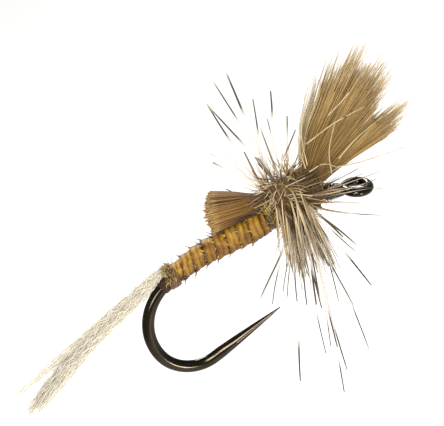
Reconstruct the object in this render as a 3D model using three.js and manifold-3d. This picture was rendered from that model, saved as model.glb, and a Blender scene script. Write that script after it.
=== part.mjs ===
// A dry fly tied on a barbless down-eye hook, in millimetres.
//
// Frame: the origin is the centre of the hook eye. +X runs forward along the shank,
// the way the tippet leaves; +Z is up, so the bend of the hook hangs below the shank;
// the hook lies in the XZ plane and +Y is the left side of the fly.
//
// Everything on the hook is tied down, layer over layer: thread base, tail yarn, underbody,
// wound biot, wing fibres, dubbing, hackle, thread head and varnish.

import * as THREE from "three";
import { mergeVertices } from "three/addons/utils/BufferGeometryUtils.js";
import Module from "manifold-3d";

const wasm = await Module();
wasm.setup();

// ---- Driving dimensions -------------------------------------------------------------

const GAP = 0.02; // clearance between one layer of tying material and the next
const FINEST_DETAIL = 0.003; // slivers thinner than this, left by a cut or a join, are smoothed away

// Hook
const WIRE_RADIUS = 0.235;
const FORGED_HALF_THICKNESS = 0.19; // the bend is hammered flat on both sides
const EYE_MID_RADIUS = 0.48;
const EYE_WIRE_RADIUS = 0.18;
const EYE_DROOP = 23; // degrees that the ring is turned down from the shank
const SHANK_Z = 0.635; // height of the shank axis above the centre of the eye
const NECK_RADIUS = 0.8; // curve between the neck and the straight shank
const SHANK_LENGTH = 4.46; // straight part
const BEND_ARCS = [
  { radius: 5.7, turn: 24.4 },
  { radius: 2.285, turn: 79 },
  { radius: 1.58, turn: 87 },
];
const SPEAR_LENGTH = 3.2;
const POINT_TAPER_LENGTH = 2.9;

// Thread layers on the shank, between these X positions
const THREAD_BASE_RADIUS = 0.285;
const THREAD_REAR_X = -8.45;
const THREAD_FRONT_X = -1.75;

// Tail: three flat locks of crimped yarn, tied on top of the bend
const TAIL_ROOT_X = -7.86;
const TAIL_WRAPS = { rear: -8.42, front: -7.84, radius: 0.48 };
const TAIL_LOCKS = [
  { name: "tail_lock_left", rootY: 0.24, tip: [-15.75, 0.72, -1.55], halfWidth: 0.14, halfHeight: 0.08 },
  { name: "tail_lock_middle", rootY: 0, tip: [-15.2, 0.1, -2.0], halfWidth: 0.2, halfHeight: 0.14 },
  { name: "tail_lock_right", rootY: -0.24, tip: [-14.95, -0.6, -2.0], halfWidth: 0.16, halfHeight: 0.11 },
];

// Abdomen: one biot wound edge to edge over a tapered thread underbody
const ABDOMEN = { rear: -7.78, front: -3.68, rearRadius: 0.45, frontRadius: 0.58 };
const BIOT_THICKNESS = 0.075;
const BIOT_TURNS = 7;
const BIOT_RAISED_EDGE = 0.045;
const BIOT_STEPS_PER_TURN = 16;
const TIE_OFF_WRAPS = { rear: -3.62, front: -3.44, radius: 0.46 };

// Wing: five flat locks of fibre in a stack, squeezed at the waist and fanned at both ends.
// Lock 1 is the lowest and leans furthest forward; lock 5 is the rear edge of the wing.
const WAIST_REAR_X = -3.3;
const WAIST_BOTTOM = 0.43; // height of the lowest lock above the shank axis, at the waist
const WAIST_PITCH = 0.13;
const WAIST_HALF_WIDTH = 0.27;
const WAIST_HALF_THICKNESS = 0.05;
const BUTT_END_X = -5.75; // cut end of the lowest lock; each lock above it ends a step further forward
const BUTT_END_STEP = 0.12;
const BUTT_BOTTOM_Z = 1.6;
const BUTT_PITCH = 0.27;
const BUTT_HALF_WIDTH = 0.86;
const BUTT_HALF_THICKNESS = 0.085;
const WING_LOCKS = [
  { liftX: -1.45, tip: [3.35, -1.0, 2.7], halfWidth: 0.5, halfThickness: 0.3 },
  { liftX: -1.52, tip: [3.1, 0.1, 3.45], halfWidth: 0.7, halfThickness: 0.36 },
  { liftX: -1.6, tip: [3.35, 0.35, 4.4], halfWidth: 0.75, halfThickness: 0.36 },
  { liftX: -1.68, tip: [2.85, 0.45, 5.05], halfWidth: 0.75, halfThickness: 0.3 },
  { liftX: -1.76, tip: [2.1, 0.5, 5.25], halfWidth: 0.65, halfThickness: 0.28 },
];
const WING_WRAPS = { rear: -3.0, front: -1.9, halfWidth: 0.42, halfHeight: 0.73, lift: 0.35 };

// Thorax: an oval of dubbing round the waist of the wing
const THORAX = { rear: -3.4, front: -1.3, halfWidth: 0.6, halfHeight: 0.92, lift: 0.32 };

// Hackle: one feather, its stem wound round the thorax behind the wing
const STEM_RADIUS = 0.05;
const STEM_TURNS = 5;
const STEM_REAR_X = -3.26;
const STEM_FRONT_X = -1.94;
const STEM_STEPS_PER_TURN = 12;
const BARB_COUNT = 92;
const BARB_ROOT_RADIUS = 0.038;
const BARB_TIP_RADIUS = 0.012;
const BARB_SHORTEST = 4.6;
const BARB_LONGEST = 6.9;
const BARB_SWEEP = 38; // degrees that the end barbs lean back and forward

// Head: thread wound down the neck to the eye, under a coat of varnish
const HEAD = { rear: -1.24, front: -0.68, radius: 0.36, noseRadius: 0.25 };
const VARNISH_THICKNESS = 0.04;

// ---- Vectors and repeatable chance ----------------------------------------------------

const vec = (x, y, z) => new THREE.Vector3(x, y, z);
const radians = THREE.MathUtils.degToRad;
const mix = THREE.MathUtils.lerp;
const SIDEWAYS = vec(0, 1, 0);
const FORWARD = vec(1, 0, 0);

// The same sequence of numbers from 0 to 1 on every run.
function chanceFrom(seed) {
  let state = seed;
  return () => {
    state = (state * 1664525 + 1013904223) % 4294967296;
    return state / 4294967296;
  };
}

// ---- Solids -----------------------------------------------------------------------------

function toSolid(geometry) {
  const bare = new THREE.BufferGeometry();
  bare.setAttribute("position", geometry.getAttribute("position"));
  bare.setIndex(geometry.getIndex());
  const merged = mergeVertices(bare, 1e-5);
  return new wasm.Manifold(
    new wasm.Mesh({
      numProp: 3,
      vertProperties: merged.getAttribute("position").array,
      triVerts: new Uint32Array(merged.getIndex().array),
    }),
  );
}

function toGeometry(solid, finest = FINEST_DETAIL) {
  const mesh = mainBody(solid.simplify(finest)).getMesh();
  const geometry = new THREE.BufferGeometry();
  geometry.setAttribute("position", new THREE.BufferAttribute(mesh.vertProperties, 3));
  geometry.setIndex(new THREE.BufferAttribute(mesh.triVerts, 1));
  const faceted = geometry.toNonIndexed();
  faceted.computeVertexNormals();
  return faceted;
}

// The direction of travel at each point of a path.
function tangents(points) {
  return points.map((point, i) => {
    const before = points[Math.max(i - 1, 0)];
    const after = points[Math.min(i + 1, points.length - 1)];
    return after.clone().sub(before).normalize();
  });
}

// A closed solid along a path: one oval ring of points at each step, with flat ends.
// sizeAt(t, i) gives the half width along `across` and the half height at right angles to it,
// and may give `flat`, the furthest that the ring reaches along `across`.
function sweep(points, sizeAt, sides = 12, across = SIDEWAYS) {
  const positions = [];
  const faces = [];
  const headings = tangents(points);
  points.forEach((point, i) => {
    const heading = headings[i];
    const side = across.clone().addScaledVector(heading, -across.dot(heading)).normalize();
    const up = heading.clone().cross(side);
    const { width, height, flat = Infinity } = sizeAt(i / (points.length - 1), i);
    for (let k = 0; k < sides; k++) {
      const angle = (2 * Math.PI * k) / sides;
      const reach = THREE.MathUtils.clamp(width * Math.cos(angle), -flat, flat);
      const corner = point.clone().addScaledVector(side, reach);
      corner.addScaledVector(up, height * Math.sin(angle));
      positions.push(corner.x, corner.y, corner.z);
    }
  });
  const last = (points.length - 1) * sides;
  for (let k = 0; k < sides; k++) {
    const next = (k + 1) % sides;
    for (let row = 0; row < last; row += sides) {
      faces.push(row + k, row + next, row + sides + k);
      faces.push(row + next, row + sides + next, row + sides + k);
    }
    if (k > 0 && next > 0) {
      faces.push(0, next, k);
      faces.push(last, last + k, last + next);
    }
  }
  const geometry = new THREE.BufferGeometry();
  geometry.setAttribute("position", new THREE.Float32BufferAttribute(positions, 3));
  geometry.setIndex(faces);
  return toSolid(geometry);
}

const join = (solids) => solids.reduce((all, solid) => all.add(solid));
const cut = (solid, tools) => tools.reduce((left, tool) => left.subtract(tool), solid);

// The largest body of a solid, without the crumbs that a cut may leave beside it.
function mainBody(solid) {
  const bodies = solid.decompose();
  return bodies.reduce((best, body) => (body.volume() > best.volume() ? body : best));
}

// ---- The wire of the hook ---------------------------------------------------------------

// Points of a path in the XZ plane, walked ahead and round arcs that turn left.
function walk(start, heading, moves) {
  const points = [start.clone()];
  const here = start.clone();
  let angle = radians(heading);
  for (const { ahead = 0, radius = 0, turn = 0, steps } of moves) {
    for (let i = 0; i < steps; i++) {
      const bend = radians(turn) / steps;
      const chord = ahead / steps || 2 * radius * Math.sin(bend / 2);
      here.x += chord * Math.cos(angle + bend / 2);
      here.z += chord * Math.sin(angle + bend / 2);
      angle += bend;
      points.push(here.clone());
    }
  }
  return points;
}

const droop = radians(EYE_DROOP);
const NECK_START = vec(-EYE_MID_RADIUS * Math.cos(droop), 0, EYE_MID_RADIUS * Math.sin(droop));
const NECK_RISE = SHANK_Z - NECK_START.z - NECK_RADIUS * (1 - Math.cos(droop));
const NECK_LENGTH = NECK_RISE / Math.sin(droop);
const SHANK_FRONT_X = NECK_START.x - NECK_LENGTH * Math.cos(droop) - NECK_RADIUS * Math.sin(droop);
const SHANK_REAR_X = SHANK_FRONT_X - SHANK_LENGTH;

const wirePoints = walk(NECK_START, 180 - EYE_DROOP, [
  { ahead: NECK_LENGTH, steps: 3 },
  { radius: NECK_RADIUS, turn: EYE_DROOP, steps: 3 },
  { ahead: SHANK_LENGTH, steps: 3 },
  ...BEND_ARCS.map((arc) => ({ ...arc, steps: Math.ceil(arc.turn / 10) })),
  { ahead: SPEAR_LENGTH, steps: 9 },
]);

// How far each point of the wire lies from the point of the hook, along the wire.
const toPoint = wirePoints.map(() => 0);
for (let i = wirePoints.length - 2; i >= 0; i--) {
  toPoint[i] = toPoint[i + 1] + wirePoints[i].distanceTo(wirePoints[i + 1]);
}

function wireRadius(i) {
  if (i < 6) {
    return mix(EYE_WIRE_RADIUS - 0.005, WIRE_RADIUS, i / 6);
  }
  const taper = Math.min(toPoint[i] / POINT_TAPER_LENGTH, 1);
  return WIRE_RADIUS * mix(0.08, 1, taper ** 0.85);
}

function wire(extra = 0) {
  return sweep(wirePoints, (t, i) => {
    const radius = wireRadius(i) + extra;
    const forged = wirePoints[i].x < SHANK_REAR_X - 2 || wirePoints[i].z < 0;
    return { width: radius, height: radius, flat: forged ? FORGED_HALF_THICKNESS + extra : Infinity };
  });
}

function hook() {
  const ring = new THREE.TorusGeometry(EYE_MID_RADIUS, EYE_WIRE_RADIUS, 8, 20);
  ring.rotateY(droop);
  return join([wire(), toSolid(ring)]);
}

// ---- Layers wound round the shank ---------------------------------------------------------

// The middle of the wire at a position along the shank, as far back as the first arc of the bend.
function shankAxis(x) {
  const behind = Math.max(SHANK_REAR_X - x, 0);
  const { radius } = BEND_ARCS[0];
  return vec(x, 0, SHANK_Z - (radius - Math.sqrt(radius ** 2 - behind ** 2)));
}

function shankPoints(rear, front, steps, lift = 0) {
  return Array.from({ length: steps + 1 }, (_, i) => {
    const point = shankAxis(mix(rear, front, i / steps));
    point.z += lift;
    return point;
  });
}

const round = (radius) => () => ({ width: radius, height: radius });
const boreThrough = (rear, front, radius) =>
  sweep(shankPoints(rear - 0.3, front + 0.3, 12), round(radius));

function threadBase() {
  const outside = sweep(shankPoints(THREAD_REAR_X, THREAD_FRONT_X, 12), round(THREAD_BASE_RADIUS));
  return cut(outside, [wire(0.008)]);
}

// A barrel of thread wraps round the shank: its surface swells in the middle.
function wraps({ rear, front, radius }, steps = 6) {
  return sweep(shankPoints(rear, front, steps), (t) => {
    const swell = radius - 0.05 * (2 * t - 1) ** 4;
    return { width: swell, height: swell };
  });
}

function abdomenRadius(x) {
  const t = THREE.MathUtils.inverseLerp(ABDOMEN.rear, ABDOMEN.front, x);
  const plain = mix(ABDOMEN.rearRadius, ABDOMEN.frontRadius, THREE.MathUtils.clamp(t, 0, 1));
  return plain - 0.1 * Math.max(0, t - 0.86) / 0.14;
}

function underbody() {
  const points = shankPoints(ABDOMEN.rear, ABDOMEN.front, 10);
  const outside = sweep(points, (t, i) => round(abdomenRadius(points[i].x) - BIOT_THICKNESS - GAP)());
  return cut(outside, [boreThrough(ABDOMEN.rear, ABDOMEN.front, THREAD_BASE_RADIUS + GAP)]);
}

// The biot is a flat strip wound as a helix; each turn's rear edge stands up over the turn behind.
function biot() {
  const pitch = (ABDOMEN.front - ABDOMEN.rear) / (BIOT_TURNS + 1);
  const halfStrip = (pitch - GAP) / 2;
  const steps = BIOT_TURNS * BIOT_STEPS_PER_TURN;
  const positions = [];
  const faces = [];
  for (let i = 0; i <= steps; i++) {
    const angle = (2 * Math.PI * i) / BIOT_STEPS_PER_TURN;
    const middle = mix(ABDOMEN.rear + pitch / 2, ABDOMEN.front - pitch / 2, i / steps);
    const corners = [
      { x: middle - halfStrip, rise: -BIOT_THICKNESS },
      { x: middle + halfStrip, rise: -BIOT_THICKNESS },
      { x: middle + halfStrip, rise: -0.015 },
      { x: middle - halfStrip, rise: BIOT_RAISED_EDGE },
    ];
    for (const { x, rise } of corners) {
      const centre = shankAxis(x);
      const radius = abdomenRadius(middle) + rise;
      positions.push(x, radius * Math.sin(angle), centre.z + radius * Math.cos(angle));
    }
  }
  const last = steps * 4;
  for (let k = 0; k < 4; k++) {
    const next = (k + 1) % 4;
    for (let row = 0; row < last; row += 4) {
      faces.push(row + k, row + 4 + k, row + next);
      faces.push(row + next, row + 4 + k, row + 4 + next);
    }
  }
  faces.push(0, 1, 2, 0, 2, 3);
  faces.push(last, last + 2, last + 1, last, last + 3, last + 2);
  const geometry = new THREE.BufferGeometry();
  geometry.setAttribute("position", new THREE.Float32BufferAttribute(positions, 3));
  geometry.setIndex(faces);
  return toSolid(geometry);
}

// ---- Tail ---------------------------------------------------------------------------------

function tailLock({ rootY, tip, halfWidth, halfHeight }, extra = 0) {
  const onThread = (x) => shankAxis(x).z + THREAD_BASE_RADIUS + GAP + 0.035 - 0.5 * Math.abs(rootY) ** 2;
  const end = vec(...tip);
  const start = vec(TAIL_ROOT_X, rootY, onThread(TAIL_ROOT_X));
  const leaves = vec(TAIL_WRAPS.rear - 0.1, rootY, onThread(TAIL_WRAPS.rear));
  const middle = leaves.clone().lerp(end, 0.5).add(vec(0, 0, 0.22));
  const curve = new THREE.CatmullRomCurve3([start, leaves, middle, end]);
  return sweep(curve.getPoints(10), (t) => {
    const spread = Math.min(1, Math.max(0, t - 0.1) / 0.4);
    const blunt = 1 - 0.55 * Math.max(0, t - 0.8) / 0.2;
    return {
      width: mix(0.1, halfWidth, spread) * blunt + extra,
      height: mix(0.035, halfHeight, spread) * blunt + extra,
    };
  }, 6);
}

function tailWraps() {
  const tools = TAIL_LOCKS.map((lock) => tailLock(lock, GAP));
  tools.push(boreThrough(TAIL_WRAPS.rear, TAIL_WRAPS.front, THREAD_BASE_RADIUS + GAP));
  return cut(wraps(TAIL_WRAPS), tools);
}

// ---- Wing -----------------------------------------------------------------------------------

function wingLock(i, extra = 0) {
  const { liftX, tip, halfWidth, halfThickness } = WING_LOCKS[i];
  const waistZ = SHANK_Z + WAIST_BOTTOM + WAIST_PITCH * i;
  const buttX = BUTT_END_X + BUTT_END_STEP * i;
  const buttZ = BUTT_BOTTOM_Z + BUTT_PITCH * i;
  const end = vec(...tip);
  const lifts = vec(liftX, 0, waistZ);
  const knee = lifts.clone().lerp(end, 0.3).add(vec(-0.03 * i, 0, 0.05 * i));
  const curve = new THREE.CatmullRomCurve3([
    vec(buttX, 0, buttZ),
    vec(mix(buttX, WAIST_REAR_X, 0.55), 0, mix(buttZ, waistZ, 0.45)),
    vec(WAIST_REAR_X, 0, waistZ),
    vec(mix(WAIST_REAR_X, liftX, 0.5), 0, waistZ),
    lifts,
    knee,
    end,
  ], false, "centripetal");
  const points = curve.getSpacedPoints(20);
  const flare = (x) => THREE.MathUtils.clamp((WAIST_REAR_X - x) / (WAIST_REAR_X - buttX), 0, 1);
  const wingLength = lifts.distanceTo(end);
  return sweep(points, (t, n) => {
    const point = points[n];
    const butt = flare(point.x);
    const out = point.x > liftX ? Math.min(point.distanceTo(lifts) / wingLength, 1) : 0;
    const ragged = 1 - 0.5 * Math.max(0, out - 0.85) / 0.15;
    const width = mix(WAIST_HALF_WIDTH, BUTT_HALF_WIDTH, butt) + (halfWidth - WAIST_HALF_WIDTH) * out;
    const thickness = mix(WAIST_HALF_THICKNESS, BUTT_HALF_THICKNESS, butt);
    return {
      width: width * ragged + extra,
      height: mix(thickness, halfThickness, out) * ragged + extra,
    };
  }, 6);
}

// An oval barrel round both the shank and the waist of the wing.
function oval({ rear, front, halfWidth, halfHeight, lift }, steps, roundness) {
  return sweep(shankPoints(rear, front, steps, lift), (t) => {
    const swell = 1 - roundness * (2 * t - 1) ** 4;
    return { width: halfWidth * swell, height: halfHeight * swell };
  });
}

const fattenedWing = WING_LOCKS.map((_, i) => wingLock(i, GAP));
const fattenedThread = boreThrough(THREAD_REAR_X, THREAD_FRONT_X, THREAD_BASE_RADIUS + GAP);

function wingWraps() {
  return cut(oval(WING_WRAPS, 4, 0.12), [...fattenedWing, fattenedThread]);
}

// The dubbing is a sleeve; the wing fibres leave through its rear mouth and its front wall.
function thorax() {
  const bore = {
    rear: THORAX.rear - 0.2,
    front: THORAX.front + 0.2,
    halfWidth: WING_WRAPS.halfWidth + GAP,
    halfHeight: WING_WRAPS.halfHeight + GAP,
    lift: WING_WRAPS.lift,
  };
  return cut(oval(THORAX, 6, 0.1), [oval(bore, 1, 0), ...fattenedWing]);
}

// ---- Hackle -----------------------------------------------------------------------------------

// A point of the stem, which winds round the outside of the thorax; t runs from 0 at the rear to 1.
function stemPoint(t) {
  const angle = 2 * Math.PI * STEM_TURNS * t;
  const clearance = STEM_RADIUS + 2.5 * GAP;
  return vec(
    mix(STEM_REAR_X, STEM_FRONT_X, t),
    (THORAX.halfWidth + clearance) * Math.sin(angle),
    SHANK_Z + THORAX.lift + (THORAX.halfHeight + clearance) * Math.cos(angle),
  );
}

function barb(t, length, lean) {
  const root = stemPoint(t);
  const outward = vec(0, root.y, root.z - SHANK_Z - THORAX.lift).normalize();
  const heading = outward.multiplyScalar(Math.cos(lean)).addScaledVector(FORWARD, Math.sin(lean));
  const tip = root.clone().addScaledVector(heading, length);
  return sweep([root, tip], (s) => {
    const radius = mix(BARB_ROOT_RADIUS, BARB_TIP_RADIUS, s);
    return { width: radius, height: radius };
  }, 3, FORWARD);
}

function hackle(obstacles) {
  const chance = chanceFrom(11);
  const steps = STEM_TURNS * STEM_STEPS_PER_TURN;
  const stemPoints = Array.from({ length: steps + 1 }, (_, i) => stemPoint(i / steps));
  const stem = sweep(stemPoints, () => ({ width: STEM_RADIUS, height: STEM_RADIUS }), 6, FORWARD);
  const barbs = [];
  for (let i = 0; i < BARB_COUNT; i++) {
    const t = (i + 0.5) / BARB_COUNT;
    const lean = radians(mix(-BARB_SWEEP, BARB_SWEEP, t) + 26 * (chance() - 0.5));
    const length = mix(BARB_SHORTEST, BARB_LONGEST, chance() ** 2);
    const spike = barb(t, length, lean);
    if (spike.intersect(obstacles).isEmpty()) {
      barbs.push(spike);
    }
  }
  return join([stem, ...barbs]);
}

// ---- Head ---------------------------------------------------------------------------------------

// A barrel that follows the neck of the hook down to the eye.
function headBarrel(extra, longer) {
  const neck = (x) => vec(x, 0, NECK_START.z + (NECK_START.x - x) * Math.tan(droop));
  const points = Array.from({ length: 5 }, (_, i) => {
    return neck(mix(HEAD.rear - longer, HEAD.front + longer, i / 4));
  });
  return sweep(points, (t) => {
    const taper = mix(HEAD.radius, HEAD.noseRadius, t ** 1.6);
    const radius = taper - 0.05 * (1 - t) ** 4 + extra;
    return { width: radius, height: radius };
  });
}

function headThread() {
  return cut(headBarrel(0, 0), [wire(GAP), ...fattenedWing]);
}

function headVarnish() {
  const outside = headBarrel(GAP + VARNISH_THICKNESS, 0);
  return cut(outside, [headBarrel(GAP, 0.05), wire(GAP), ...fattenedWing]);
}

// ---- The fly ----------------------------------------------------------------------------------------

const MATERIALS = {
  wire: { color: 0x1d1712, roughness: 0.25, metalness: 0.9 },
  thread: { color: 0x4b3a1f, roughness: 0.6, metalness: 0 },
  tieThread: { color: 0x6b3a1c, roughness: 0.6, metalness: 0 },
  yarn: { color: 0xe6ddc6, roughness: 0.5, metalness: 0 },
  biot: { color: 0xb07d22, roughness: 0.45, metalness: 0 },
  wing: { color: 0x97804f, roughness: 0.7, metalness: 0 },
  dubbing: { color: 0x7d7434, roughness: 0.9, metalness: 0 },
  feather: { color: 0x9a8a6c, roughness: 0.5, metalness: 0 },
  headThread: { color: 0x2a2417, roughness: 0.4, metalness: 0 },
  varnish: { color: 0x16130d, roughness: 0.08, metalness: 0 },
};

const fly = new THREE.Group();
fly.name = "dry_fly";

function add(name, material, solid, finest) {
  const look = new THREE.MeshStandardMaterial(MATERIALS[material]);
  const mesh = new THREE.Mesh(toGeometry(solid, finest), look);
  mesh.name = name;
  fly.add(mesh);
}

add("hook", "wire", hook());
add("thread_base", "thread", threadBase());
add("thread_underbody", "thread", underbody());
for (const lock of TAIL_LOCKS) {
  add(lock.name, "yarn", tailLock(lock));
}
add("tail_tie_wraps", "tieThread", tailWraps());
add("abdomen_biot", "biot", biot());
const tieOffBore = boreThrough(TIE_OFF_WRAPS.rear, TIE_OFF_WRAPS.front, THREAD_BASE_RADIUS + GAP);
add("abdomen_tie_wraps", "tieThread", cut(wraps(TIE_OFF_WRAPS, 2), [tieOffBore, ...fattenedWing]));
WING_LOCKS.forEach((_, i) => add(`wing_lock_${i + 1}`, "wing", wingLock(i)));
add("wing_tie_wraps", "thread", wingWraps());
add("thorax_dubbing", "dubbing", thorax());
add("hackle_feather", "feather", hackle(join([...fattenedWing, wire(GAP)])), 2 * FINEST_DETAIL);
add("head_thread", "headThread", headThread());
add("head_varnish", "varnish", headVarnish());

export default fly;
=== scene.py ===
"""A dry fly on a barbless hook: fibre, feather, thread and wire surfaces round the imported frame.

Shapes are worked out in millimetres, in the row's frame (origin at the hook eye, +X forward along
the shank, +Z up, +Y to the fly's left), and become metres when a mesh is made.
"""

import math

import bpy
import numpy as np
from mathutils import Matrix, Vector


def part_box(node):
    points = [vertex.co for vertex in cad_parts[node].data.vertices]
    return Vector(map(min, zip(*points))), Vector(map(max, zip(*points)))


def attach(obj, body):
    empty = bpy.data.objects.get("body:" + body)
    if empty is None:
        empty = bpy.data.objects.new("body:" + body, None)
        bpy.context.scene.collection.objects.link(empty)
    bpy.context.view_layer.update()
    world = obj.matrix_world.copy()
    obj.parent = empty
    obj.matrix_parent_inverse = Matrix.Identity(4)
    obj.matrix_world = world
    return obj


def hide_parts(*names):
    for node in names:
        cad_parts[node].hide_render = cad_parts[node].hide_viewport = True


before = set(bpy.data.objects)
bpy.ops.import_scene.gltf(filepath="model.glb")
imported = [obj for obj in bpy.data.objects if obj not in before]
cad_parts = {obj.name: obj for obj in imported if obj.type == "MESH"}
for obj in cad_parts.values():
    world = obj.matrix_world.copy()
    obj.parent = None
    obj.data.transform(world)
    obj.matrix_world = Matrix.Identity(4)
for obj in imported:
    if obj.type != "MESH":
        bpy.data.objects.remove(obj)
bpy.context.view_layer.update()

MM = 0.001

LEFT = np.array([0.0, 1.0, 0.0])
FORWARD = np.array([1.0, 0.0, 0.0])
UP = np.array([0.0, 0.0, 1.0])


def box_mm(node):
    """The lowest and highest corner of a CAD node, in millimetres."""
    low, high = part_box(node)
    return np.array(low) / MM, np.array(high) / MM


# ---- The hook's design, as in the CAD model ----

WIRE_RADIUS = 0.235
FORGED_HALF_THICKNESS = 0.19
EYE_MID_RADIUS = 0.48
EYE_WIRE_RADIUS = 0.18
EYE_DROOP = math.radians(23)
SHANK_Z = 0.635
NECK_RADIUS = 0.8
SHANK_LENGTH = 4.46
BEND_ARCS = ((5.7, 24.4), (2.285, 79), (1.58, 87))  # radius and turn in degrees
SPEAR_LENGTH = 3.2
POINT_TAPER_LENGTH = 2.9

# ---- Places taken from the frame ----

THREAD_RADIUS = (box_mm("thread_base")[1] - box_mm("thread_base")[0])[1] / 2
ABDOMEN_REAR, ABDOMEN_FRONT = (corner[0] for corner in box_mm("abdomen_biot"))
TAIL_WRAPS_REAR, TAIL_WRAPS_FRONT = (corner[0] for corner in box_mm("tail_tie_wraps"))
THORAX_LOW, THORAX_HIGH = box_mm("thorax_dubbing")
THORAX_MID_Z = (THORAX_LOW[2] + THORAX_HIGH[2]) / 2
THORAX_HALF_WIDTH = THORAX_HIGH[1]
THORAX_HALF_HEIGHT = (THORAX_HIGH[2] - THORAX_LOW[2]) / 2


# ---- Meshes ----


def unit(vectors):
    """Vectors along the last axis, each made one long."""
    return vectors / np.maximum(np.linalg.norm(vectors, axis=-1, keepdims=True), 1e-12)


class Shape:
    """The vertices, faces and per-vertex values of one piece, gathered bit by bit."""

    def __init__(self):
        self.vertices = []
        self.faces = []
        self.values = {}
        self.count = 0

    def add(self, vertices, faces, **values):
        """Adds vertices in millimetres, faces that count from the first of them, and values."""
        vertices = np.asarray(vertices).reshape(-1, 3)
        self.vertices.append(vertices)
        self.faces += [tuple(i + self.count for i in face) for face in faces]
        for name in dict.fromkeys((*self.values, *values)):
            chunks = self.values.setdefault(name, [np.zeros(self.count)])
            data = np.asarray(values.get(name, 0.0), float)
            chunks.append(np.full(len(vertices), data) if data.ndim == 0 else data.reshape(-1))
        self.count += len(vertices)

    def piece(self, name, material, slot, *nodes):
        """Makes the object, which rides on the fly and stands for the CAD nodes named."""
        mesh = bpy.data.meshes.new(name)
        mesh.from_pydata((np.concatenate(self.vertices) * MM).tolist(), [], self.faces)
        for key, chunks in self.values.items():
            layer = mesh.attributes.new(key, "FLOAT", "POINT")
            layer.data.foreach_set("value", np.concatenate(chunks).astype(np.float32))
        mesh.shade_smooth()
        mesh.materials.append(material)
        obj = bpy.data.objects.new(name, mesh)
        bpy.context.scene.collection.objects.link(obj)
        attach(obj, "root")
        if nodes:
            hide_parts(*nodes)


def circle(count):
    """Angles spread evenly round a circle."""
    return np.linspace(0, 2 * np.pi, count, endpoint=False)


def tube_faces(points, sides):
    """The faces of a tube that has a ring of vertices at each point, with a face over each end."""
    row = np.arange(points - 1)[:, None] * sides
    here = np.arange(sides)
    after = (here + 1) % sides
    quads = np.stack([row + here, row + after, row + sides + after, row + sides + here], -1)
    ends = [here[::-1].tolist(), (here + (points - 1) * sides).tolist()]
    return quads.reshape(-1, 4).tolist() + ends


def grid_faces(rows, columns):
    """The faces of a grid of vertices that joins up with itself both ways."""
    faces = []
    for i in range(rows):
        for j in range(columns):
            i2 = (i + 1) % rows
            j2 = (j + 1) % columns
            faces.append((i * columns + j, i2 * columns + j, i2 * columns + j2, i * columns + j2))
    return faces


def add_sleeve(shape, x, middle_z, outer, inner, half_width=1.0, half_height=1.0, **values):
    """Adds a sleeve round the fly: a ring at each x on the outside, and then back along the inside.

    `outer` is (rings, vertices in a ring) and `inner` one number, both over the half sizes given.
    """
    around = circle(outer.shape[1])
    skins = []
    for reach in (outer, np.full_like(outer, inner)):
        y = half_width * reach * np.sin(around)
        z = middle_z + half_height * reach * np.cos(around)
        skins.append(np.stack([np.broadcast_to(x[:, None], y.shape), y, z], -1))
    faces = grid_faces(2 * len(x), outer.shape[1])
    shape.add(np.concatenate([skins[0], skins[1][::-1]]), faces, **values)


def strands(shape, paths, radii, sides=4, across=FORWARD, squash=1.0, flat=None, **values):
    """Adds closed tubes: paths is (tubes, points, 3), radii is (tubes, points) or fewer axes.

    `across` is the direction of each tube's width, `squash` its height over its width, and
    `flat` the greatest half width of a ring, to which a wider one is narrowed. Each value is
    given per tube, per point or as one number; `along` runs from 0 at the root to 1 at the tip.
    """
    paths = np.asarray(paths, float)
    tubes, points, _ = paths.shape
    radii = np.broadcast_to(radii, (tubes, points))
    heading = unit(np.gradient(paths, axis=1))
    side = unit(across - (across * heading).sum(-1, keepdims=True) * heading)
    up = np.cross(heading, side)
    angles = circle(sides)
    reach = radii[..., None] * np.cos(angles)
    if flat is not None:
        reach = reach * np.minimum(1, flat / radii)[..., None]
    height = radii[..., None] * squash * np.sin(angles)
    rings = paths[:, :, None] + reach[..., None] * side[:, :, None] + height[..., None] * up[:, :, None]
    per_vertex = {}
    for name, data in {"along": np.linspace(0, 1, points)[None], **values}.items():
        data = np.asarray(data, float)
        data = data.reshape(data.shape + (1,) * (2 - data.ndim))
        per_vertex[name] = np.repeat(np.broadcast_to(data, (tubes, points))[..., None], sides, -1)
    faces = tube_faces(points, sides)
    for i in range(tubes):
        shape.add(rings[i], faces, **{name: data[i] for name, data in per_vertex.items()})


def through(knots, points):
    """Smooth paths through knots (paths, knots, 3), each resampled to a number of points."""
    knots = np.asarray(knots, float)
    count = knots.shape[1]
    before = 2 * knots[:, :1] - knots[:, 1:2]
    beyond = 2 * knots[:, -1:] - knots[:, -2:-1]
    padded = np.concatenate([before, knots, beyond], 1)
    place = np.linspace(0, count - 1, points)
    index = np.minimum(place.astype(int), count - 2)
    t = (place - index)[None, :, None]
    a, b, c, d = (padded[:, index + shift] for shift in range(4))
    return 0.5 * (2 * b + (c - a) * t + (2 * a - 5 * b + 4 * c - d) * t**2 + (3 * b - a - 3 * c + d) * t**3)


def smooth_noise(rng, count, knots):
    """Random values from -1 to 1 that change smoothly over a number of knots."""
    return np.interp(np.linspace(0, knots, count), np.arange(knots + 1), rng.uniform(-1, 1, knots + 1))


# ---- Node materials ----


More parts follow.
